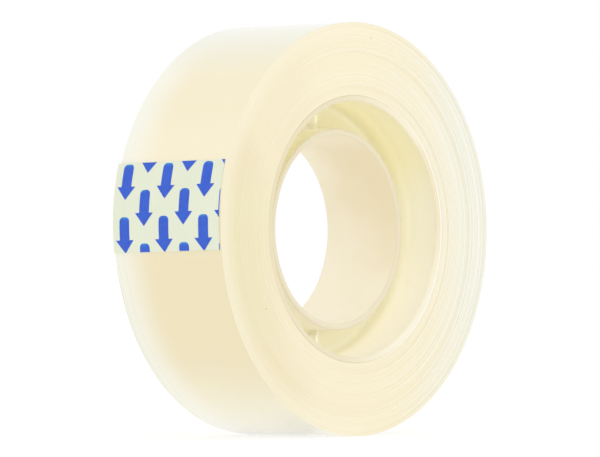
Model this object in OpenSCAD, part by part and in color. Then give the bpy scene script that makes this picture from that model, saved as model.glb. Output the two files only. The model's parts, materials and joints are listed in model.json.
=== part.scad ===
// Roll of clear stationery tape on a moulded core.
// The roll stands on its rim. Its axis lies along Y, its front side faces -Y,
// and the origin is on the bore's axis, midway between the two sides.

/* [Tape] */
// Width of the tape
tape_w = 19; // [12:0.5:25]
// Outer diameter of the full roll
roll_d = 56.4; // [44:0.2:70]
// Thickness of one turn of tape, backing and adhesive together
tape_t = 0.044; // [0.03:0.002:0.08]

/* [Core] */
// Outer diameter of the core, which the tape is wound on
core_d = 36.4; // [35:0.2:42]
// Diameter of the bore, a loose fit on a one inch hub
bore_d = 25.8; // [25.5:0.1:26.2]
// Wall of the outer sleeve
sleeve_wall = 0.8; // [0.6:0.1:1.2]
// Wall of the inner tube
tube_wall = 0.9; // [0.7:0.1:1.4]
// How far the sleeve's rims lie inside the sides of the roll
sleeve_inset = 0.2; // [0:0.05:0.6]
// Depth of the inner tube's rim below the front side
tube_depth_front = 3.5; // [1:0.1:4.5]
// Depth of the inner tube's rim below the back side
tube_depth_back = 2.6; // [1:0.1:4.5]
// Thickness of the web that joins the tube to the sleeve
web_t = 1.8; // [1:0.1:3]
// Radius of the fillets where the web meets the walls
web_fillet = 0.8; // [0.3:0.1:1]
// Radius of the rounded rims
rim_round = 0.3; // [0.1:0.05:0.35]

/* [Ribs] */
// Number of ribs around the core
rib_count = 4; // [2:1:8]
// Height of a rib above each face of the web
rib_h = 1.3; // [0.5:0.1:2]
// Thickness of a rib where it meets the inner tube
rib_t_tube = 0.5; // [0.4:0.05:1]
// Thickness of a rib where it meets the sleeve
rib_t_sleeve = 0.8; // [0.4:0.05:1.2]

/* [Starter tab] */
// Angle of the tab's root line, above the level of the axis
root_angle = -6.3; // [-60:0.1:60]
// Turn of the tab out of square with the roll
tab_skew = 1.1; // [0:0.1:2]
// Sideways offset of the tab towards the back side
tab_offset = 0.16; // [0:0.02:0.3]
// Length of the printed film, along the roll
film_len = 12.2; // [8:0.1:20]
// Thickness of the printed film
film_t = 0.035; // [0.02:0.005:0.06]
// Distance from the root line to the printed film
film_start = 0.1; // [0.1:0.05:0.5]
// Length of clear tape past the printed film
tape_overrun = 0.85; // [0.4:0.05:2]
// Gap between the tab and the roll at the root line
root_gap = 0.1; // [0.08:0.01:0.2]
// Radius that the tab is curved to, a little flatter than the roll
tab_curve_r = 29.4; // [29.2:0.1:32]

/* [Arrow print] */
// Length of an arrow
arrow_len = 4.9; // [3:0.1:6]
// Width of an arrow's shaft
shaft_w = 1.75; // [1:0.05:2.4]
// Width of an arrow's head
head_w = 3.2; // [2.6:0.02:3.4]
// Length of an arrow's head
head_len = 1.8; // [1:0.05:2.5]
// Spacing of the columns, across the tape
column_pitch = 3.53; // [3.5:0.01:4.5]
// Spacing of the rows, along the tape
row_pitch = 3.6; // [3.5:0.01:4.5]
// Sideways offset of the middle column
print_offset = 0.54; // [-1:0.01:1]
// Distance from the root line to the tips of the first row
first_tip = 0; // [-1:0.05:1]
// Thickness of the ink
ink_t = 0.015; // [0.01:0.005:0.03]

/* [Hidden] */
$fn = 180;

roll_r = roll_d / 2;
core_r = core_d / 2;
bore_r = bore_d / 2;
tube_r = bore_r + tube_wall;
sleeve_in_r = core_r - sleeve_wall;
half_w = tape_w / 2;
wound_r = roll_r - tape_t;
arc_steps = 6;

// Radii of the tab's layers, from the centre that the tab is curved about
film_r = tab_curve_r;
ink_r = film_r + film_t;
tape_end_r = ink_r + ink_t;
tab_len = film_start + film_len + tape_overrun;
// Distance from the roll's axis to the centre that the tab is curved about
tab_centre = roll_r + root_gap - tab_curve_r;

// Points along a quarter turn or any other arc, both ends included
function arc(cx, cy, r, from, to) =
    [for (i = [0 : arc_steps])
        let (a = from + (to - from) * i / arc_steps)
        [cx + r * cos(a), cy + r * sin(a)]];

// Rectangle with rounded corners, between two radii and two heights
function round_rect(x0, x1, y0, y1, r) = concat(
    arc(x1 - r, y1 - r, r, 0, 90),
    arc(x0 + r, y1 - r, r, 90, 180),
    arc(x0 + r, y0 + r, r, 180, 270),
    arc(x1 - r, y0 + r, r, 270, 360));

// Lays the turning axis along Y, with local +Z towards the front side
module lay_axis() {
    rotate([90, 0, 0])
        children();
}

// Straight-sided ring about the roll's axis, as wide as the tape
module tape_ring(inner, outer) {
    lay_axis()
        rotate_extrude()
            translate([inner, -half_w])
                square([outer - inner, tape_w]);
}

// Web with filleted roots, as a ring from inside one wall to inside the other
module web_profile() {
    top = web_t / 2;
    f = web_fillet;
    upper = concat(
        [[tube_r - tube_wall / 2, top + f]],
        arc(tube_r + f, top + f, f, 180, 270),
        arc(sleeve_in_r - f, top + f, f, 270, 360),
        [[core_r - sleeve_wall / 2, top + f]]);
    lower = [for (i = [len(upper) - 1 : -1 : 0]) [upper[i][0], -upper[i][1]]];
    polygon(concat(upper, lower));
}

// One tapered rib that stands out of both faces of the web
module rib() {
    inner = tube_r - tube_wall / 2;
    outer = core_r - sleeve_wall / 2;
    h = web_t + 2 * rib_h;
    translate([0, 0, -h / 2])
        linear_extrude(h)
            polygon([
                [inner, -rib_t_tube / 2],
                [outer, -rib_t_sleeve / 2],
                [outer, rib_t_sleeve / 2],
                [inner, rib_t_tube / 2]]);
}

// Moulded core: outer sleeve, inner tube with the bore, web and ribs
module core() {
    sleeve_half = half_w - sleeve_inset;
    color("#e9e2bb")
        lay_axis() {
            rotate_extrude()
                polygon(round_rect(sleeve_in_r, core_r, -sleeve_half, sleeve_half, rim_round));
            rotate_extrude()
                polygon(round_rect(bore_r, tube_r, tube_depth_back - half_w,
                    half_w - tube_depth_front, rim_round));
            rotate_extrude()
                web_profile();
            for (i = [0 : rib_count - 1])
                rotate([0, 0, i * 360 / rib_count])
                    rib();
        }
}

// Every turn of tape that lies under the last one, stuck together as one ring
module tape_winding() {
    color("#f6efd2")
        tape_ring(core_r, wound_r);
}

// Last full turn of tape, which ends at the tab's root line
module outer_turn() {
    color("#f7ecd6")
        tape_ring(wound_r, roll_r);
}

// Places the tab: local X is the radius through the root line, local Y turns the
// tab's free end outwards, and local Z runs up the roll to the free end
module at_root() {
    rotate([0, root_angle, 180])
        rotate([tab_skew, 0, 0])
            children();
}

// Places a shape at the centre that the tab is curved about, with local Z across
// the tape towards the back side, turned to the given distance along the tab
module on_tab(along) {
    at_root()
        translate([tab_centre, 0, 0])
            rotate([90, 0, 0])
                rotate([0, 0, along / tab_curve_r * 180 / PI])
                    children();
}

// Curved sheet of the tab, as wide as the tape, between two distances along it
module tab_sheet(inner, thickness, from, to) {
    on_tab(from)
        rotate_extrude(angle = (to - from) / tab_curve_r * 180 / PI)
            translate([inner, tab_offset - half_w])
                square([thickness, tape_w]);
}

// Printed film under the free end of the tape, which keeps it from sticking
module start_tab() {
    color("#ecf0e1")
        tab_sheet(film_r, film_t, film_start, film_start + film_len);
}

// Arrow outline with its tip at the origin, pointing down, and a rounded shaft end
module arrow_outline() {
    s = shaft_w / 2;
    r = shaft_w / 3;
    polygon(concat(
        [[0, 0], [head_w / 2, head_len], [s, head_len]],
        arc(s - r, arrow_len - r, r, 0, 90),
        arc(r - s, arrow_len - r, r, 90, 180),
        [[-s, head_len], [-head_w / 2, head_len]]));
}

// Arrow as a thick prism through the tab, with its tip at a column and a row
module arrow_prism(column, row) {
    tip = first_tip + row * row_pitch;
    middle = arrow_len / 2;
    on_tab(tip + middle)
        translate([film_r - 1, 0, print_offset + column * column_pitch])
            rotate([0, 90, 0])
                linear_extrude(2)
                    translate([0, -middle])
                        arrow_outline();
}

// Staggered arrows printed on the film, cut off at its edges
module arrow_print() {
    color("#0052cd")
        intersection() {
            tab_sheet(ink_r, ink_t, film_start, film_start + film_len);
            union()
                for (row = [-1 : 3])
                    for (column = [-3 : 3])
                        if ((row + column) % 2 == 0)
                            arrow_prism(column, row);
        }
}

// Free end of the tape, from the root line over the film to the cut edge
module tape_end() {
    color("#f3f1e4")
        tab_sheet(tape_end_r, tape_t, 0, tab_len);
}

core();
tape_winding();
outer_turn();
start_tab();
arrow_print();
tape_end();
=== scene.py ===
"""Looks for the roll of clear tape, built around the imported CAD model."""
import json
import math

import bmesh
import bpy
import numpy as np
from mathutils import Matrix, Vector


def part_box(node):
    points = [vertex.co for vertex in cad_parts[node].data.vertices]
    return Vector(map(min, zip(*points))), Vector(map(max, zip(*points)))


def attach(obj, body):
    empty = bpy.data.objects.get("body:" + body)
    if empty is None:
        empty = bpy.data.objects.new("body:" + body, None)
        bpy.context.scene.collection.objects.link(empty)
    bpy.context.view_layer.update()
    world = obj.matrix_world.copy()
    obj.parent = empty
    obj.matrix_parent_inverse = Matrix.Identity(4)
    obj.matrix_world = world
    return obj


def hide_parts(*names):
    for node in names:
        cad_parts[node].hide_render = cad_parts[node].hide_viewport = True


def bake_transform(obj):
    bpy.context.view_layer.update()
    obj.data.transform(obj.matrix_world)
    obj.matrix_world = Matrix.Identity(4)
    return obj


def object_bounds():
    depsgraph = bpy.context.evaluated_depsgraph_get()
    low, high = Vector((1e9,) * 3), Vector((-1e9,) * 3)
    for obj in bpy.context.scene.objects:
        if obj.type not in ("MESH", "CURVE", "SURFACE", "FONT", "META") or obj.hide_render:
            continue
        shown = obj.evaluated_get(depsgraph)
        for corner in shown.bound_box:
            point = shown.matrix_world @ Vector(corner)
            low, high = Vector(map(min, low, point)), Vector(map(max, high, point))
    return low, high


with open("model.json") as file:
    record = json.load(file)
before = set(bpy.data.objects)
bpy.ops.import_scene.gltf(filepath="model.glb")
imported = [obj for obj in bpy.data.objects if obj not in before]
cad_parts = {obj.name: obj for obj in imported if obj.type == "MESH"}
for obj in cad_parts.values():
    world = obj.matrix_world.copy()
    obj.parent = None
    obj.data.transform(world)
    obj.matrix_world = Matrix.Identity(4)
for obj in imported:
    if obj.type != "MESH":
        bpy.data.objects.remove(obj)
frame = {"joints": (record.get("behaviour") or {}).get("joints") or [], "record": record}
cad_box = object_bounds()

MM = 0.001


# ---------------------------------------------------------------- sizes, in metres

# The roll and the core, from the CAD nodes and the bore mount
roll_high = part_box("outer_turn")[1]
core_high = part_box("core")[1]
bore_mount = next(m for m in frame["record"]["mounts"] if m["name"] == "core_bore")
ROLL_R = roll_high.z
HALF_W = roll_high.y
CORE_R = core_high.z
SLEEVE_HALF = core_high.y
BORE_R = bore_mount["dims"]["r_mm"] * MM

# The tape
TAPE_T = 0.044 * MM
WOUND_R = ROLL_R - TAPE_T

# The core's walls, as in the CAD model
SLEEVE_IN_R = CORE_R - 0.8 * MM
TUBE_R = BORE_R + 0.9 * MM
TUBE_FRONT = HALF_W - 3.5 * MM
TUBE_BACK = HALF_W - 2.6 * MM
WEB_HALF = 0.9 * MM
WEB_FILLET = 0.8 * MM
RIM_ROUND = 0.3 * MM
RIB_COUNT = 4
RIB_H = 1.3 * MM
RIB_T_TUBE = 0.5 * MM
RIB_T_SLEEVE = 0.8 * MM

# The starter tab's layers, from the film's inner face outwards
FILM_T = 0.035 * MM
INK_T = 0.015 * MM
FILM_START = 0.1 * MM
FILM_LEN = 12.2 * MM
FILM_END = FILM_START + FILM_LEN
TAPE_OVERRUN = 0.85 * MM
TAB_LEN = FILM_END + TAPE_OVERRUN
TAB_OFFSET = 0.16 * MM

# The printed pattern
ARROW_LEN = 4.9 * MM
SHAFT_W = 1.75 * MM
HEAD_W = 3.2 * MM
HEAD_LEN = 1.8 * MM
COLUMN_PITCH = 3.53 * MM
ROW_PITCH = 3.6 * MM
PRINT_OFFSET = 0.54 * MM


# ---------------------------------------------------------------- mesh helpers

def smoothstep(x, low, high):
    """0 below low, 1 above high, and smooth between them."""
    t = np.clip((np.asarray(x, float) - low) / (high - low), 0, 1)
    return t * t * (3 - 2 * t)


def even(start, end, step):
    """Evenly spaced values from start to end, about one step apart."""
    return np.linspace(start, end, max(2, int(round((end - start) / step)) + 1))


def link_piece(name, mesh, sharp_angle):
    """Smooth-shaded object of a mesh whose edges above sharp_angle degrees stay sharp."""
    mesh.shade_smooth()
    mesh.set_sharp_from_angle(angle=math.radians(sharp_angle))
    piece = bpy.data.objects.new(name, mesh)
    bpy.context.scene.collection.objects.link(piece)
    return piece


def make_piece(name, points, faces, sharp_angle):
    """Smooth-shaded object from points and faces."""
    mesh = bpy.data.meshes.new(name)
    mesh.from_pydata(np.asarray(points, float).tolist(), [], np.asarray(faces, int).tolist())
    mesh.validate()
    return link_piece(name, mesh, sharp_angle)


def ring_faces(rings, steps):
    """Quads of a closed tube of rings, each with the same number of points, closed both ways."""
    i, j = np.meshgrid(np.arange(rings), np.arange(steps), indexing="ij")
    k, m = (i + 1) % rings, (j + 1) % steps
    quads = np.stack([i * steps + j, i * steps + m, k * steps + m, k * steps + j], axis=-1)
    return quads.reshape(-1, 4)


def revolve(name, radius, depth, angles, sharp_angle):
    """Closed solid of revolution about Y. radius and depth are arrays of profile point by angle;
    depth is positive towards the front side, which faces -Y."""
    radius, depth = np.broadcast_arrays(radius, depth)
    points = np.stack([radius * np.cos(angles), -depth, radius * np.sin(angles)], axis=-1)
    return make_piece(name, points.reshape(-1, 3), ring_faces(*radius.shape), sharp_angle)


def set_attribute(piece, name, values):
    """Stores one number for each point of the mesh, which a material can read."""
    attribute = piece.data.attributes.new(name, "FLOAT", "POINT")
    attribute.data.foreach_set("value", np.asarray(values, np.float32).ravel())


def arc(cx, cy, r, start, end, steps=6):
    """Points along an arc, angles in degrees, both ends included."""
    a = np.radians(np.linspace(start, end, steps + 1))
    return [(cx + r * math.cos(t), cy + r * math.sin(t)) for t in a]


def line(x0, y0, x1, y1, steps):
    """Points along a straight line, without its two ends."""
    return [(x0 + (x1 - x0) * i / steps, y0 + (y1 - y0) * i / steps) for i in range(1, steps)]


# ---------------------------------------------------------------- material helpers

class Shader:
    """A Principled material and short names for adding procedural nodes to it. Lengths are in metres,
    and x, y and z are the place on the object."""

    def __init__(self, name, **values):
        self.material = bpy.data.materials.new(name)
        self.material.use_nodes = True
        self.tree = self.material.node_tree
        self.bsdf = self.tree.nodes["Principled BSDF"]
        for socket, value in values.items():
            self.bsdf.inputs[socket.replace("_", " ")].default_value = value
        self.place = self.tree.nodes.new("ShaderNodeTexCoord").outputs["Object"]
        self.x, self.y, self.z = self.add("ShaderNodeSeparateXYZ", {0: self.place}).outputs

    def feed(self, socket, value):
        """Links an input to a node or to its output, or sets it to a plain value."""
        if isinstance(value, bpy.types.Node):
            value = value.outputs[0]
        if isinstance(value, bpy.types.NodeSocket):
            self.tree.links.new(value, socket)
        else:
            socket.default_value = value

    def add(self, kind, inputs=(), **settings):
        """Adds a node. inputs maps its sockets to what feeds them."""
        node = self.tree.nodes.new(kind)
        for key, value in settings.items():
            setattr(node, key, value)
        for key, value in dict(inputs).items():
            self.feed(node.inputs[key], value)
        return node

    def math(self, operation, *values):
        return self.add("ShaderNodeMath", dict(enumerate(values)), operation=operation)

    def times(self, product, *factors):
        """Product of two or more numbers."""
        for factor in factors:
            product = self.math("MULTIPLY", product, factor)
        return product

    def smooth(self, value, low, high):
        """0 below low and 1 above high, smooth between them. Where high is less, it falls instead."""
        return self.add("ShaderNodeMapRange", {"Value": value, "From Min": low, "From Max": high},
                        interpolation_type="SMOOTHSTEP")

    def noise(self, scale, detail=2.0, rough=0.5):
        """Noise from 0 to 1 through the object's space."""
        inputs = {"Vector": self.place, "Scale": scale, "Detail": detail, "Roughness": rough}
        return self.add("ShaderNodeTexNoise", inputs).outputs["Fac"]

    def noise_along(self, value, scale, detail, rough):
        """Noise from 0 to 1 that varies with one number only."""
        inputs = {"W": value, "Scale": scale, "Detail": detail, "Roughness": rough}
        return self.add("ShaderNodeTexNoise", inputs, noise_dimensions="1D").outputs["Fac"]

    def attribute(self, name):
        """A number stored at the mesh's points."""
        return self.add("ShaderNodeAttribute", attribute_name=name).outputs["Fac"]

    def mix(self, factor, a, b):
        """Colour a where factor is 0 and colour b where it is 1."""
        node = self.add("ShaderNodeMix", data_type="RGBA")
        sockets = {s.identifier: s for s in node.inputs}
        self.feed(sockets["Factor_Float"], factor)
        self.feed(sockets["A_Color"], a)
        self.feed(sockets["B_Color"], b)
        return next(s for s in node.outputs if s.identifier == "Result_Color")

    def radius(self):
        """Distance from the roll's axis."""
        return self.math("SQRT", self.math("ADD", self.times(self.x, self.x), self.times(self.z, self.z)))

    def specks(self, spacing, size, shift=0.0):
        """1 at sparse small dots, about one for every two cubes of the given spacing."""
        moved = self.add("ShaderNodeVectorMath", {0: self.place, 1: (shift,) * 3}, operation="ADD")
        dots = self.add("ShaderNodeTexVoronoi", {"Vector": moved, "Scale": 1 / spacing})
        near = self.math("LESS_THAN", dots.outputs["Distance"], size / spacing)
        pick = self.add("ShaderNodeSeparateColor", {0: dots.outputs["Color"]})
        return self.times(near, self.math("GREATER_THAN", pick.outputs[0], 0.5))

    def colour(self, value):
        self.feed(self.bsdf.inputs["Base Color"], value)

    def roughness(self, value):
        self.feed(self.bsdf.inputs["Roughness"], value)

    def bump(self, height, distance):
        """Small relief."""
        relief = self.add("ShaderNodeBump", {"Height": height, "Distance": distance})
        self.feed(self.bsdf.inputs["Normal"], relief)


def srgb(red, green, blue):
    """Linear colour from 0 to 255 screen values."""
    def linear(c):
        c /= 255
        return c / 12.92 if c <= 0.04045 else ((c + 0.055) / 1.055) ** 2.4
    return (linear(red), linear(green), linear(blue), 1.0)


# ---------------------------------------------------------------- materials of the tape

CREAM = srgb(244, 234, 203)
# The next two are painted shade and painted light on the tape's cream.
CREAM_SHADED = srgb(234, 221, 182)
CREAM_LIT = srgb(236, 235, 218)
# White of the painted glints and of the fine pale rings.
RING_AND_GLINT_WHITE = srgb(255, 254, 250)
RIM_CREAM = srgb(246, 238, 214)
STRAND_DARK = srgb(224, 219, 195)
SIDE_OLIVE = srgb(228, 230, 184)
TAPE_SPECK = srgb(150, 130, 90)
# The next four are painted light along the rear edge, painted shade at the top, painted light at the
# bottom and a painted highlight above the tab.
REAR_BACKLIT = srgb(243, 243, 232)
TOP_SHADE_GREY = srgb(228, 227, 204)
BOTTOM_LIT = srgb(245, 245, 229)
ABOVE_TAB_HIGHLIGHT = srgb(243, 233, 202)
TURN_GREY = srgb(225, 227, 208)
CLEAR_WARM = srgb(250, 250, 240)
CLEAR_WHITE = srgb(255, 255, 250)


def tape_shade_and_light(s):
    """Painted shade and light on the tape's cream: painted shade low on the tab's side of the roll,
    painted light on the far side and towards the outer turns.
    """
    wander = s.times(s.math("SUBTRACT", s.noise(45, 3.0, 0.55), 0.5), 0.014)
    x = s.math("ADD", s.x, wander)
    # Painted shade low on the tab's side.
    low_side = s.smooth(s.math("MULTIPLY_ADD", s.z, 0.25, x), -0.0115, -0.026)
    painted_shade = s.math("MAXIMUM", low_side, s.times(s.smooth(x, -0.006, -0.017), 0.4))
    # Painted light on the far side and towards the outer turns.
    outwards = s.math("MULTIPLY_ADD", s.math("SUBTRACT", s.radius(), CORE_R), 0.8, x)
    painted_light = s.smooth(outwards, 0.015, 0.034)
    return s.mix(painted_light, s.mix(painted_shade, CREAM, CREAM_SHADED), CREAM_LIT)


def wound_tape_material():
    """Cut edges of the turns: cream with painted shade low on the tab's side and painted light on the far
    side, fine rings, an olive tint beside the tab, a paler outer rim on the tab's side, painted glints as
    light strands and also dark strands on the far side, and a few specks. Where one turn stands above the
    next, a painted glint makes its edge white along the arc where light would catch it."""
    s = Shader("wound_tape", IOR=1.45)
    by_tab = s.times(s.smooth(s.z, 0.010, 0.002), s.smooth(s.z, -0.018, -0.011))
    by_tab = s.times(by_tab, s.smooth(s.x, -0.016, -0.021), 0.22)
    base = s.mix(by_tab, tape_shade_and_light(s), SIDE_OLIVE)
    near_side = s.smooth(s.x, 0.008, -0.004)
    rim = s.times(s.smooth(s.radius(), ROLL_R - 0.0035, ROLL_R - 0.0003), near_side, 0.6)
    base = s.mix(rim, base, RIM_CREAM)
    fine = s.noise_along(s.radius(), 9000, 3.0, 0.6)
    base = s.mix(s.times(s.smooth(fine, 0.45, 0.7), 0.12), base, RING_AND_GLINT_WHITE)
    strand = s.noise_along(s.radius(), 3600, 2.0, 0.6)
    far_side = s.smooth(s.x, 0.0, 0.016)
    # Painted glints: light strands on the far side, where the turns' edges catch the light.
    light = s.times(s.smooth(strand, 0.52, 0.64), far_side, 0.26)
    dark = s.times(s.smooth(strand, 0.48, 0.36), far_side, 0.38)
    base = s.mix(dark, s.mix(light, base, RING_AND_GLINT_WHITE), STRAND_DARK)
    # Painted glints on the steps, from the edge attribute.
    base = s.mix(s.attribute("edge"), base, RING_AND_GLINT_WHITE)
    s.colour(s.mix(s.times(s.specks(0.0045, 0.00011), 0.5), base, TAPE_SPECK))
    s.roughness(s.smooth(fine, -0.4, 1.6))
    s.bump(fine, 0.00001)
    return s.material


def outer_tape_material():
    """Smooth film over the whole winding, with painted light along its rear edge where light comes
    through from behind, painted light at its bottom, a painted highlight just above the tab, painted
    shade at its top, and painted shade low on the tab's side and painted light on the far side, with a
    few fine lines where turns stand out along the rear edge."""
    s = Shader("outer_tape", Roughness=0.3, IOR=1.45, Coat_Weight=1.0, Coat_Roughness=0.06, Coat_IOR=1.4,
               Sheen_Weight=0.42, Sheen_Roughness=0.35, Sheen_Tint=(1, 1, 1, 1))
    # Painted highlight just above the tab.
    above_tab_highlight = s.times(s.smooth(s.z, 0.001, 0.006), s.smooth(s.z, 0.021, 0.012))
    above_tab_highlight = s.times(above_tab_highlight, s.smooth(s.x, -0.004, -0.014))
    base = s.mix(above_tab_highlight, tape_shade_and_light(s), ABOVE_TAB_HIGHLIGHT)
    # Painted light along the rear edge, where light comes through from behind.
    wandering_y = s.math("ADD", s.y, s.times(s.noise(90), 0.0012))
    rear_backlight = s.smooth(wandering_y, 0.003, HALF_W + 0.001)
    base = s.mix(s.times(rear_backlight, 0.85), base, REAR_BACKLIT)
    # Painted shade at the top and painted light at the bottom.
    base = s.mix(s.times(s.smooth(s.z, 0.020, 0.027), 0.8), base, TOP_SHADE_GREY)
    base = s.mix(s.times(s.smooth(s.z, -0.0165, -0.029), 0.62), base, BOTTOM_LIT)
    turns = s.smooth(s.noise_along(wandering_y, 2600, 2.0, 0.6), 0.52, 0.4)
    at_rear = s.smooth(s.y, HALF_W - 0.0024, HALF_W - 0.0008)
    below_top = s.times(s.smooth(s.z, 0.022, 0.0), 0.75)
    s.colour(s.mix(s.times(turns, at_rear, below_top), base, TURN_GREY))
    s.bump(s.noise(140, 3.0), 0.00002)
    return s.material


def clear_tape_material():
    """Clear film of the tape's free end."""
    s = Shader("clear_tape", Roughness=0.12, IOR=1.45, Alpha=0.03)
    s.colour(s.mix(s.noise(220), CLEAR_WARM, CLEAR_WHITE))
    s.bump(s.noise(200), 0.00001)
    return s.material


# ---------------------------------------------------------------- material of the core

# Painted shade for the bore's upper part, and its paler tone.
BORE_SHADED = srgb(238, 226, 194)
BORE_PALE = srgb(249, 243, 224)
# The recess's tones carry painted shade: yellower at the top and at the web, paler at the bottom.
WALL_MIDDLE = srgb(241, 236, 216)
WALL_BOTTOM = srgb(244, 239, 222)
WALL_TOP = srgb(240, 234, 197)
WEB_BOTTOM = srgb(240, 235, 206)
WEB_TOP = srgb(240, 234, 202)
# Painted light on the tab's side of the recess.
NEAR_SIDE_LIT = srgb(254, 251, 240)
# White of the painted light and highlight on the ribs and the fillet.
RIB_LIGHT_WHITE = srgb(255, 253, 242)
TUBE_RIM = srgb(230, 220, 192)
SLEEVE_RIM = srgb(227, 216, 180)
CORE_SPECK = srgb(160, 140, 95)


def bore_colour(s):
    """Painted shade in the upper part of the bore and painted light from below in its lower part, with a
    slanting cloudy border, and paler again at its top.
    """
    cloud = s.times(s.math("SUBTRACT", s.noise(90, 3.0, 0.6), 0.5), 0.02)
    slant = s.times(s.y, s.math("MULTIPLY_ADD", s.smooth(s.z, 0.004, 0.010), 1.5, 0.8))
    low = s.smooth(s.math("ADD", s.math("SUBTRACT", s.z, slant), cloud), 0.012, -0.012)
    top = s.times(s.smooth(s.z, 0.0105, 0.0128), 0.5)
    return s.mix(s.math("MAXIMUM", low, top), BORE_SHADED, BORE_PALE)


def recess_colour(s):
    """Painted shade: deeper at the web than on the walls, deepest at the top and paler at the bottom;
    painted light on the tab's side, above all beside the top rib, where the corner lies in shade."""
    upper = s.smooth(s.z, 0.003, 0.011)
    wall = s.mix(s.smooth(s.z, -0.001, -0.009), WALL_MIDDLE, WALL_BOTTOM)
    wall = s.mix(upper, wall, WALL_TOP)
    web = s.mix(upper, WEB_BOTTOM, WEB_TOP)
    painted_shade = s.smooth(s.math("ABSOLUTE", s.y), 0.0045, 0.001)
    # Painted light on the tab's side, strongest beside the top rib where the corner lies in shade.
    near_side = s.smooth(s.x, 0.0003, -0.0008)
    by_top_rib = s.times(s.smooth(s.x, -0.0045, -0.0022), s.smooth(s.z, 0.0, 0.004))
    lighter = s.times(near_side, s.math("MULTIPLY_ADD", by_top_rib, 0.55, 0.15))
    return s.mix(lighter, s.mix(painted_shade, wall, web), NEAR_SIDE_LIT)


def core_material():
    """Milky moulded plastic. The mesh's attributes mark its recess, the painted light on its ribs and on
    the fillet by the sleeve wall, and its rims."""
    s = Shader("core_plastic", IOR=1.49)
    base = s.mix(s.attribute("recess"), bore_colour(s), recess_colour(s))
    # Painted light and highlight on the ribs and the fillet by the sleeve wall.
    base = s.mix(s.times(s.attribute("rib_light"), 0.6), base, RIB_LIGHT_WHITE)
    rim_colour = s.mix(s.smooth(s.radius(), 0.015, 0.0165), TUBE_RIM, SLEEVE_RIM)
    base = s.mix(s.times(s.attribute("rim"), 0.8), base, rim_colour)
    s.colour(s.mix(s.times(s.specks(0.0045, 0.00013, 3.3), 0.5), base, CORE_SPECK))
    s.roughness(s.smooth(s.noise(400), -1.0, 2.4))
    s.bump(s.noise(500), 0.00002)
    return s.material


# ---------------------------------------------------------------- materials of the tab

FILM_GREEN = srgb(223, 228, 205)
FILM_PALE = srgb(229, 234, 212)
INK_DEEP = srgb(0, 74, 196)
INK_LIGHT = srgb(0, 88, 212)
INK_THIN = srgb(0, 150, 215)


def film_material():
    """Pale film of the starter tab."""
    s = Shader("tab_film", Roughness=0.4, IOR=1.3)
    s.colour(s.mix(s.noise(150, 3.0), FILM_GREEN, FILM_PALE))
    s.bump(s.noise(600), 0.00001)
    return s.material


def ink_material():
    """Blue ink, a little thin at the end of each shaft."""
    s = Shader("blue_ink", Roughness=0.5, IOR=1.2, Specular_IOR_Level=0.1)
    solid = s.mix(s.noise(700, 3.0), INK_DEEP, INK_LIGHT)
    thin = s.times(s.smooth(s.attribute("along"), 0.9, 1.0), s.smooth(s.noise(900), 0.3, 0.6), 0.8)
    s.colour(s.mix(thin, solid, INK_THIN))
    return s.material


# ---------------------------------------------------------------- core

TOUCH = 1e-7
RIB_NEAR_DEGREES = 5
RIB_STEP_DEGREES = 0.16
STEPS_BETWEEN_RIBS = 44
RIB_RUN_OUT = 3.2 * MM


def core_profile():
    """Half section of the core as one closed loop of radius and depth, from the bore's back end."""
    e = RIM_ROUND
    f = WEB_FILLET
    w = WEB_HALF
    loop = line(BORE_R, -TUBE_BACK + e, BORE_R, TUBE_FRONT - e, 14)
    loop += arc(BORE_R + e, TUBE_FRONT - e, e, 180, 90)
    loop += arc(TUBE_R - e, TUBE_FRONT - e, e, 90, 0)
    loop += line(TUBE_R, TUBE_FRONT - e, TUBE_R, w + f, 12)
    loop += arc(TUBE_R + f, w + f, f, 180, 270)
    loop += line(TUBE_R + f, w, SLEEVE_IN_R - f, w, 8)
    loop += arc(SLEEVE_IN_R - f, w + f, f, 270, 360)
    loop += line(SLEEVE_IN_R, w + f, SLEEVE_IN_R, SLEEVE_HALF - e, 16)
    loop += arc(SLEEVE_IN_R + e, SLEEVE_HALF - e, e, 180, 90)
    loop += [(CORE_R, SLEEVE_HALF)]
    loop += line(CORE_R, SLEEVE_HALF, CORE_R, -SLEEVE_HALF, 10)
    loop += [(CORE_R, -SLEEVE_HALF)]
    loop += arc(SLEEVE_IN_R + e, e - SLEEVE_HALF, e, 270, 180)
    loop += line(SLEEVE_IN_R, e - SLEEVE_HALF, SLEEVE_IN_R, -w - f, 16)
    loop += arc(SLEEVE_IN_R - f, -w - f, f, 0, -90)
    loop += line(SLEEVE_IN_R - f, -w, TUBE_R + f, -w, 8)
    loop += arc(TUBE_R + f, -w - f, f, 90, 180)
    loop += line(TUBE_R, -w - f, TUBE_R, e - TUBE_BACK, 12)
    loop += arc(TUBE_R - e, e - TUBE_BACK, e, 0, -90)
    loop += arc(BORE_R + e, e - TUBE_BACK, e, 270, 180)
    return np.array(loop)


def core_angles():
    """Angles round the core, close together at the ribs."""
    pitch = 2 * math.pi / RIB_COUNT
    edge = math.radians(RIB_NEAR_DEGREES)
    near = np.radians(np.arange(-RIB_NEAR_DEGREES, RIB_NEAR_DEGREES, RIB_STEP_DEGREES))
    far = np.linspace(edge, pitch - edge, STEPS_BETWEEN_RIBS, endpoint=False)
    one = np.concatenate([near, far])
    return np.concatenate([one + k * pitch for k in range(RIB_COUNT)])


def rib_share(radius, angles):
    """1 on a rib and 0 beside it, with a drafted side between them."""
    pitch = 2 * math.pi / RIB_COUNT
    turn = (angles + pitch / 2) % pitch - pitch / 2
    aside = np.abs(radius * np.sin(turn))
    outwards = (radius - TUBE_R) / (SLEEVE_IN_R - TUBE_R)
    half_t = (RIB_T_TUBE + (RIB_T_SLEEVE - RIB_T_TUBE) * outwards) / 2
    return 1 - smoothstep(aside - half_t, -0.06 * MM, 0.16 * MM)


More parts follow.
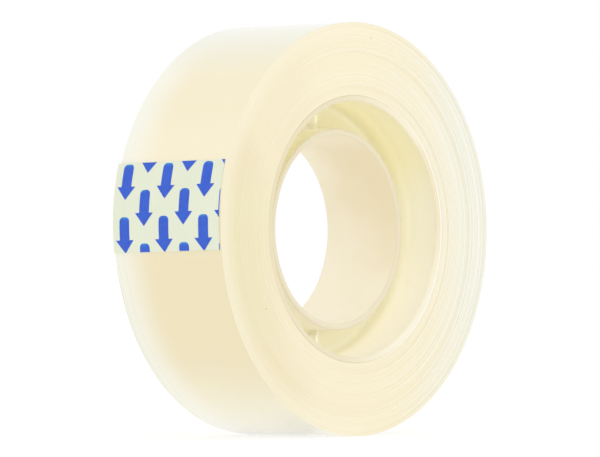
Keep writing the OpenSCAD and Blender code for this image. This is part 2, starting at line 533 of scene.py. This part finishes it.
def rim_share(radius, depth, angles):
    """1 on the tube's rims and on the sleeve's rims, which fade on the side away from the tab."""
    on_sleeve = (radius > SLEEVE_IN_R - TOUCH) & (np.abs(depth) > SLEEVE_HALF - RIM_ROUND * 0.8)
    at_tube_ends = (depth > TUBE_FRONT - RIM_ROUND * 0.8) | (depth < RIM_ROUND * 0.8 - TUBE_BACK)
    on_tube = (radius < TUBE_R + TOUCH) & at_tube_ends
    far_side = smoothstep(np.cos(angles), -0.3, 0.6)
    return on_tube + on_sleeve * (1 - 0.9 * far_side)


def build_core():
    """The core as one continuous skin. The ribs are raised from the web and run out up the walls."""
    profile = core_profile()
    angles = core_angles()
    radius = np.repeat(profile[:, :1], len(angles), axis=1)
    depth = np.repeat(profile[:, 1:], len(angles), axis=1)
    height = np.abs(depth) - WEB_HALF
    in_recess = (radius > TUBE_R - TOUCH) & (radius < SLEEVE_IN_R + TOUCH) & (height > -TOUCH)
    raised = rib_share(radius, angles)
    run_out = 1 - np.clip(height / RIB_RUN_OUT, 0, 1)
    depth = depth + np.sign(depth) * np.where(in_recess, RIB_H * raised * run_out, 0)
    piece = revolve("core_moulding", radius, depth, angles, sharp_angle=40)
    # Painted light on the ribs' shaded sides, a half-strength painted highlight on their tops, and
    # painted light on the fillet corner by the sleeve wall.
    rib_side = smoothstep(raised, 0, 0.1) * (1 - 0.5 * (raised > 0.95)) * (height < 1e-6)
    corner = 0.3 * smoothstep(radius, SLEEVE_IN_R - 1.6 * WEB_FILLET, SLEEVE_IN_R) * (height < WEB_FILLET)
    set_attribute(piece, "rim", rim_share(radius, depth, angles))
    set_attribute(piece, "recess", in_recess)
    set_attribute(piece, "rib_light", in_recess * np.maximum(rib_side, corner))
    piece.data.materials.append(core_material())
    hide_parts("core")
    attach(piece, "roll")


# ---------------------------------------------------------------- winding

LAND_PITCH = 2 * TAPE_T
LAND_EDGE = 0.006 * MM
CORE_CHAMFER = 0.13 * MM
TREND_LANDS = 15
WINDING_STEPS = 216
OUTER_TURN_STEPS = 480
RANDOM_SEED = 19


def running_mean(values, reach):
    """Mean over reach places to each side along the first axis, with odd ends."""
    padded = np.pad(values, ((reach, reach), (0, 0)), mode="reflect", reflect_type="odd")
    kernel = np.ones(2 * reach + 1) / (2 * reach + 1)
    return np.apply_along_axis(lambda column: np.convolve(column, kernel, mode="valid"), 0, padded)


def stepped_side(rng, lines, angles):
    """Radius, inset and painted glint of one side of the winding, as point by angle. The side is made of
    lands, each two turns wide. lines gives the stretches where some turns stand well above the next one
    inside and carry a painted glint, as (from, to, count, glint strength, direction): from and to are
    shares of the roll's radius, and direction is in degrees from +X, the side away from the tab."""
    lands = int(round((WOUND_R - CORE_R) / LAND_PITCH))
    edges = np.linspace(CORE_R, WOUND_R, lands + 1)
    middle = (edges[:-1] + edges[1:]) / 2 / ROLL_R

    # Each land's height above the one inside it, in mm, its painted glint, and the arc along which it
    # stands out and shows the glint
    jump = rng.uniform(0.001, 0.008, lands)
    glint = rng.uniform(0.0, 0.1, lands)
    turn = rng.normal(0, 0.25, lands)
    reach = rng.uniform(0.8, 1.25, lands)
    for start, end, count, glint_strength, direction in lines:
        inside = np.flatnonzero((middle > start) & (middle < end) & (glint < 0.1))
        chosen = rng.choice(inside, count, replace=False)
        jump[chosen] = rng.uniform(0.03, 0.08, count)
        glint[chosen] = glint_strength * rng.uniform(0.8, 1.0, count)
        turn[chosen] += math.radians(direction)
    # The two lands at the core carry a painted highlight, the bright line round the sleeve
    glint[:2] = (1, 0.8)
    turn[:2] = 0
    reach[:2] = 1.3
    away = np.abs((angles[None, :] - turn[:, None] + math.pi) % (2 * math.pi) - math.pi)
    fade = 1 - smoothstep(away / reach[:, None], 0.5, 1.15)

    # The steps climb outwards, so each land slopes back by their trend, which keeps the side level
    climb = np.cumsum(jump[:, None] * (0.35 + 0.65 * fade), axis=0)
    trend = running_mean(climb, TREND_LANDS)
    slope = np.gradient(trend, axis=0)
    flush = 1 - smoothstep(middle, 0.97, 0.998)[:, None]
    inner = (trend - climb - slope / 2) * flush
    outer = (trend - climb + slope / 2) * flush
    lowest = min(inner.min(), outer.min())

    radius = np.empty((2 * lands, 1))
    radius[0::2, 0] = edges[:-1] + LAND_EDGE
    radius[1::2, 0] = edges[1:] - LAND_EDGE
    radius[0, 0] = edges[0]
    radius[-1, 0] = edges[-1]
    inset = np.empty((2 * lands, len(angles)))
    inset[0::2] = (inner - lowest * flush) * MM
    inset[1::2] = (outer - lowest * flush) * MM
    inset[0] += CORE_CHAMFER
    return radius, inset, np.repeat(glint[:, None] * fade, 2, axis=0)


def build_winding():
    """All the turns under the last one, with the cut edges of the turns as small real steps."""
    rng = np.random.default_rng(RANDOM_SEED)
    angles = np.linspace(0, 2 * math.pi, WINDING_STEPS, endpoint=False)
    front_lines = [(0.66, 0.73, 6, 0.7, 15), (0.745, 0.765, 1, 0.8, 5), (0.8, 0.835, 2, 0.85, 0),
                   (0.87, 0.905, 3, 0.8, 0), (0.91, 0.95, 2, 0.85, 0), (0.77, 0.96, 5, 0.6, 20),
                   (0.66, 0.73, 5, 0.3, 215), (0.74, 0.96, 7, 0.2, 200), (0.66, 0.9, 8, 0.4, 80)]
    back_lines = [(0.66, 0.72, 5, 0.7, 180), (0.78, 0.84, 4, 0.8, 170), (0.86, 0.98, 7, 0.85, 180)]
    front_r, front_in, front_glint = stepped_side(rng, front_lines, angles)
    back_r, back_in, back_glint = stepped_side(rng, back_lines, angles)
    ones = np.ones((1, len(angles)))
    radius = np.concatenate([front_r * ones, (back_r * ones)[::-1]])
    depth = np.concatenate([HALF_W - front_in, (back_in - HALF_W)[::-1]])
    piece = revolve("winding_turns", radius, depth, angles, sharp_angle=25)
    # The edge attribute carries the painted glints of the steps.
    set_attribute(piece, "edge", np.concatenate([front_glint, back_glint[::-1]]))
    piece.data.materials.append(wound_tape_material())
    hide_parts("tape_winding")
    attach(piece, "roll")


def build_outer_turn():
    """The last full turn, a closed ring one tape thickness thick."""
    angles = np.linspace(0, 2 * math.pi, OUTER_TURN_STEPS, endpoint=False)
    e = 0.01 * MM
    loop = [(WOUND_R, HALF_W), (ROLL_R - e, HALF_W), (ROLL_R, HALF_W - e)]
    loop += line(ROLL_R, HALF_W - e, ROLL_R, e - HALF_W, 24)
    loop += [(ROLL_R, e - HALF_W), (ROLL_R - e, -HALF_W), (WOUND_R, -HALF_W)]
    loop = np.array(loop)
    radius = np.repeat(loop[:, :1], len(angles), axis=1)
    piece = revolve("outer_film", radius, loop[:, 1:], angles, sharp_angle=30)
    piece.data.materials.append(outer_tape_material())
    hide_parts("outer_turn")
    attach(piece, "roll")


# ---------------------------------------------------------------- starter tab

# The tab's root line, its skew and the directions at it, from the joint
tab_joint = next(j for j in frame["joints"] if j["name"] == "tab_lift")
root = Vector(tab_joint["pos_m"])
radial = Vector((root.x, 0, root.z)).normalized()
root_angle = math.atan2(radial.z, -radial.x)
across_axis = -Vector(tab_joint["axis"]).normalized()
round_the_roll = Vector((math.sin(root_angle), 0, math.cos(root_angle)))
skew = math.asin(-across_axis.dot(round_the_roll))

ROOT_GAP = 0.02 * MM
REAR_CORNER_LIFT = 0.07 * MM
ANCHOR_LEN = 1.2 * MM
BEND_LEN = 2.2 * MM
INK_CLEARANCE = 0.004 * MM
PRINT_MARGIN = 0.02 * MM

# Rows of points up the tab, shared by its layers so that they stay in order
TAB_ROWS = np.concatenate([even(0, BEND_LEN, 0.05 * MM)[:-1], even(BEND_LEN, TAB_LEN, 0.2 * MM)])
# Columns of points across the tab
TAB_COLUMNS = even(TAB_OFFSET - HALF_W, TAB_OFFSET + HALF_W, 0.5 * MM)


def rows_between(low, high):
    """The shared rows between two distances up the tab, without the ends."""
    return TAB_ROWS[(TAB_ROWS > low + 0.01 * MM) & (TAB_ROWS < high - 0.01 * MM)]


def tab_gap(u, v):
    """Gap between the roll and the film's inner face, at u across and v up from the root line."""
    rise = ROOT_GAP * smoothstep(v / MM, -0.9, 0.4)
    corner = np.clip((u + HALF_W) / (2 * HALF_W), 0, 1) ** 1.6
    return rise + REAR_CORNER_LIFT * corner * np.clip(v / TAB_LEN, 0, 1) ** 2.4


def tab_points(u, v, height):
    """Places on the tab, at u across towards the back, v up from the root line and height above the
    film's inner face."""
    along = v * math.cos(skew) - u * math.sin(skew)
    y = v * math.sin(skew) + u * math.cos(skew)
    r = ROLL_R + tab_gap(u, v) + height
    a = root_angle + along / ROLL_R
    return np.stack([-r * np.cos(a), y, r * np.sin(a)], axis=-1)


def sheet_piece(name, vs, low, high):
    """Closed thin sheet across the tab, with rows of points at vs. low and high are its faces'
    heights, as functions of v."""
    u, v = np.meshgrid(TAB_COLUMNS, vs, indexing="ij")
    bottom = tab_points(u, v, low(v))
    top = tab_points(u, v, high(v))
    nu, nv = u.shape
    points = np.concatenate([bottom.reshape(-1, 3), top.reshape(-1, 3)])
    n = nu * nv
    grid = np.arange(n).reshape(nu, nv)
    quads = np.stack([grid[:-1, :-1], grid[1:, :-1], grid[1:, 1:], grid[:-1, 1:]], axis=-1).reshape(-1, 4)
    rim = np.concatenate([grid[:, 0], grid[-1, 1:], grid[-2::-1, -1], grid[0, -2:0:-1]])
    following = np.roll(rim, -1)
    sides = np.stack([rim, following, following + n, rim + n], axis=-1)
    faces = np.concatenate([quads[:, ::-1], quads + n, sides])
    return make_piece(name, points, faces, sharp_angle=50)


def bend_with_tab(piece, node):
    """Hides the CAD node that the piece stands in for and bakes the piece's transform into its mesh."""
    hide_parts(node)
    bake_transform(piece)


def build_film():
    """Film under the free end of the tape."""
    def low(v):
        return np.zeros_like(v)

    def high(v):
        return np.full_like(v, FILM_T)

    rows = np.concatenate([[FILM_START], rows_between(FILM_START, FILM_END), [FILM_END]])
    piece = sheet_piece("tab_film", rows, low, high)
    piece.data.materials.append(film_material())
    bend_with_tab(piece, "start_tab")


def build_tape_end():
    """Clear free end of the tape, over the film and the ink. Below the root line it sinks into the
    outer turn, and past the film it comes down towards the roll."""
    def low(v):
        rise = smoothstep(v, -1.0 * MM, 0.1 * MM)
        past_film = smoothstep(v, FILM_END, FILM_END + 0.4 * MM)
        sunk = 1 - smoothstep(v, -ANCHOR_LEN, 0)
        return (FILM_T + INK_T + INK_CLEARANCE) * (rise - 0.7 * past_film) - TAPE_T * 1.1 * sunk

    def high(v):
        return low(v) + TAPE_T

    rows = np.concatenate([even(-ANCHOR_LEN, 0, 0.15 * MM)[:-1], TAB_ROWS])
    piece = sheet_piece("tape_free_end", rows, low, high)
    piece.data.materials.append(clear_tape_material())
    bend_with_tab(piece, "tape_end")


def arrow_outline():
    """Arrow with its tip at the origin, pointing down, with soft corners."""
    shaft = SHAFT_W / 2
    r = SHAFT_W * 0.36
    head = HEAD_W / 2
    slope = HEAD_LEN / head
    tip = 0.06 * MM
    barb = 0.09 * MM
    inner = 0.05 * MM
    right = [(tip, tip * slope), (head - barb, HEAD_LEN - barb * slope), (head - barb / 3, HEAD_LEN)]
    right += [(shaft + inner, HEAD_LEN), (shaft, HEAD_LEN + inner)]
    right += arc(shaft - r, ARROW_LEN - r, r, 0, 90, 8)
    left = [(-x, y) for x, y in reversed(right)]
    return [(0, tip / 3)] + right + left


def flat_arrow(u0, v0):
    """Flat arrow in u and v with its tip at u0 and v0, cut off at the film's edges and cut along the
    shared rows."""
    left = TAB_OFFSET - HALF_W + PRINT_MARGIN
    right = TAB_OFFSET + HALF_W - PRINT_MARGIN
    bottom = FILM_START + PRINT_MARGIN
    top = FILM_END - PRINT_MARGIN
    trims = [((left, 0, 0), (-1, 0, 0)), ((right, 0, 0), (1, 0, 0)),
             ((0, bottom, 0), (0, -1, 0)), ((0, top, 0), (0, 1, 0))]
    rows = [((0, v, 0), (0, 1, 0)) for v in rows_between(v0, v0 + ARROW_LEN)]
    flat = bmesh.new()
    flat.faces.new([flat.verts.new((u0 + x, v0 + y, 0)) for x, y in arrow_outline()])
    for cuts, outside_goes in ((trims, True), (rows, False)):
        for place, normal in cuts:
            everything = flat.verts[:] + flat.edges[:] + flat.faces[:]
            bmesh.ops.bisect_plane(flat, geom=everything, plane_co=place, plane_no=normal,
                                   clear_outer=outside_goes)
    return flat


def add_solid_print(made, along_layer, flat, v0):
    """Adds a flat printed shape to made as a thin solid that follows the tab."""
    low = FILM_T + INK_T / 10
    high = FILM_T + INK_T
    layers = []
    for height in (low, high):
        layer = {}
        for vert in flat.verts:
            u, v = vert.co.x, vert.co.y
            new = made.verts.new(tab_points(np.array(u), np.array(v), np.array(height)).tolist())
            new[along_layer] = (v - v0) / ARROW_LEN
            layer[vert] = new
        layers.append(layer)
    bottom, top = layers
    for face in flat.faces:
        ring = face.verts[:]
        if face.normal.z < 0:
            ring = ring[::-1]
        made.faces.new([top[v] for v in ring])
        made.faces.new([bottom[v] for v in reversed(ring)])
    for edge in flat.edges:
        if len(edge.link_faces) == 1:
            a, b = edge.verts
            made.faces.new([bottom[a], bottom[b], top[b], top[a]])
    bmesh.ops.recalc_face_normals(made, faces=made.faces[:])


def build_arrows():
    """Staggered arrows, each a thin solid on the film. Every other place in the grid is empty."""
    made = bmesh.new()
    along_layer = made.verts.layers.float.new("along")
    for row in range(-1, 4):
        for column in range(-3, 4):
            if (row + column) % 2:
                continue
            v0 = row * ROW_PITCH
            flat = flat_arrow(PRINT_OFFSET + column * COLUMN_PITCH, v0)
            if flat.faces:
                add_solid_print(made, along_layer, flat, v0)
            flat.free()
    mesh = bpy.data.meshes.new("tab_arrows")
    made.to_mesh(mesh)
    made.free()
    piece = link_piece("tab_arrows", mesh, sharp_angle=50)
    piece.data.materials.append(ink_material())
    bend_with_tab(piece, "arrow_print")


# ---------------------------------------------------------------- stage

FLOOR_HALF = 12.0
FLOOR_GREY = (0.42, 0.42, 0.42, 1)
FLOOR_GLOW = 0.62
WHITE = (1, 1, 1, 1)

KEY_PLACE = Vector((-0.35, -0.55, 0.55))
KEY_SIZE = 0.5
KEY_POWER = 0.5

GLOW_COUNT = 30
GLOW_HEIGHT = WEB_HALF + 4.2 * MM
# For each ring: radius, width across the ring, angle from the sleeve towards the web, and power
GLOW_RINGS = [(TUBE_R + 1.0 * MM, 5.5 * MM, math.radians(8), 1.25e-5),
              ((TUBE_R + SLEEVE_IN_R) / 2, 1.6 * MM, math.radians(90), 0.8e-5)]

# The camera's angles in degrees: round from the front side, up, and about its own line of sight
CAMERA_ROUND = -49.5
CAMERA_UP = -0.45
CAMERA_ROLL = -0.27
CAMERA_DISTANCE = 0.7319
LENS_MM = 319.8
SENSOR_MM = 36
SHIFT_X = -0.0075
SHIFT_Y = 0.002


def build_stage():
    """Plain pale floor and a white surround."""
    h = FLOOR_HALF
    z = cad_box[0].z
    corners = [(-h, -h, z), (h, -h, z), (h, h, z), (-h, h, z)]
    floor = make_piece("floor", corners, [[0, 1, 2, 3]], sharp_angle=35)
    s = Shader("floor_white", Base_Color=FLOOR_GREY, Roughness=0.9, Specular_IOR_Level=0,
               Emission_Color=WHITE, Emission_Strength=FLOOR_GLOW)
    floor.data.materials.append(s.material)

    world = bpy.data.worlds.new("surround")
    world.use_nodes = True
    background = world.node_tree.nodes["Background"]
    background.inputs["Color"].default_value = WHITE
    background.inputs["Strength"].default_value = 1.0
    bpy.context.scene.world = world
    bpy.context.scene.view_settings.view_transform = "Standard"


def build_key_light():
    """Square soft light above the camera, which faces the roll."""
    data = bpy.data.lights.new("key", "AREA")
    data.size = KEY_SIZE
    data.energy = KEY_POWER
    light = bpy.data.objects.new("key", data)
    light.location = KEY_PLACE
    light.rotation_mode = "QUATERNION"
    light.rotation_quaternion = (-KEY_PLACE).to_track_quat("-Z", "Y")
    bpy.context.scene.collection.objects.link(light)


def add_recess_glow(side, radius, width, tilt, power):
    """Ring of small lamps in the recess on the front side (-1) or the back side (1), with no gaps
    between them. They stand in for light that the translucent walls let into the recess. No camera
    sees them."""
    for i in range(GLOW_COUNT):
        a = 2 * math.pi * i / GLOW_COUNT
        outward = Vector((math.cos(a), 0, math.sin(a)))
        to_web = Vector((0, -side, 0))
        aim = outward * math.cos(tilt) + to_web * math.sin(tilt)
        around = Vector((math.sin(a), 0, -math.cos(a)))
        data = bpy.data.lights.new("recess_glow", "AREA")
        data.shape = "RECTANGLE"
        data.size = width
        data.size_y = 2 * math.pi * radius / GLOW_COUNT
        data.energy = power
        lamp = bpy.data.objects.new(data.name, data)
        lamp.matrix_world = Matrix((aim.cross(around), around, -aim)).transposed().to_4x4()
        lamp.location = outward * radius + Vector((0, side * GLOW_HEIGHT, 0))
        lamp.visible_camera = False
        bpy.context.scene.collection.objects.link(lamp)


def build_camera():
    """Long lens, almost level with the roll, half way round from its front side to the tab."""
    azimuth, elevation, roll = (math.radians(a) for a in (CAMERA_ROUND, CAMERA_UP, CAMERA_ROLL))
    back = Vector((math.sin(azimuth) * math.cos(elevation),
                   -math.cos(azimuth) * math.cos(elevation), math.sin(elevation)))
    right = (-back).cross(Vector((0, 0, 1))).normalized()
    up = right.cross(-back)
    rolled_right = right * math.cos(roll) + up * math.sin(roll)
    rolled_up = up * math.cos(roll) - right * math.sin(roll)
    data = bpy.data.cameras.new("camera")
    data.sensor_width = SENSOR_MM
    data.lens = LENS_MM
    data.shift_x = SHIFT_X
    data.shift_y = SHIFT_Y
    data.clip_start = 0.01
    camera = bpy.data.objects.new("camera", data)
    camera.matrix_world = Matrix((rolled_right, rolled_up, back)).transposed().to_4x4()
    camera.location = back * CAMERA_DISTANCE
    bpy.context.scene.collection.objects.link(camera)
    bpy.context.scene.camera = camera


build_camera()
build_stage()
build_key_light()
for side in (-1, 1):
    for ring in GLOW_RINGS:
        add_recess_glow(side, *ring)
build_core()
build_winding()
build_outer_turn()
build_film()
build_arrows()
build_tape_end()
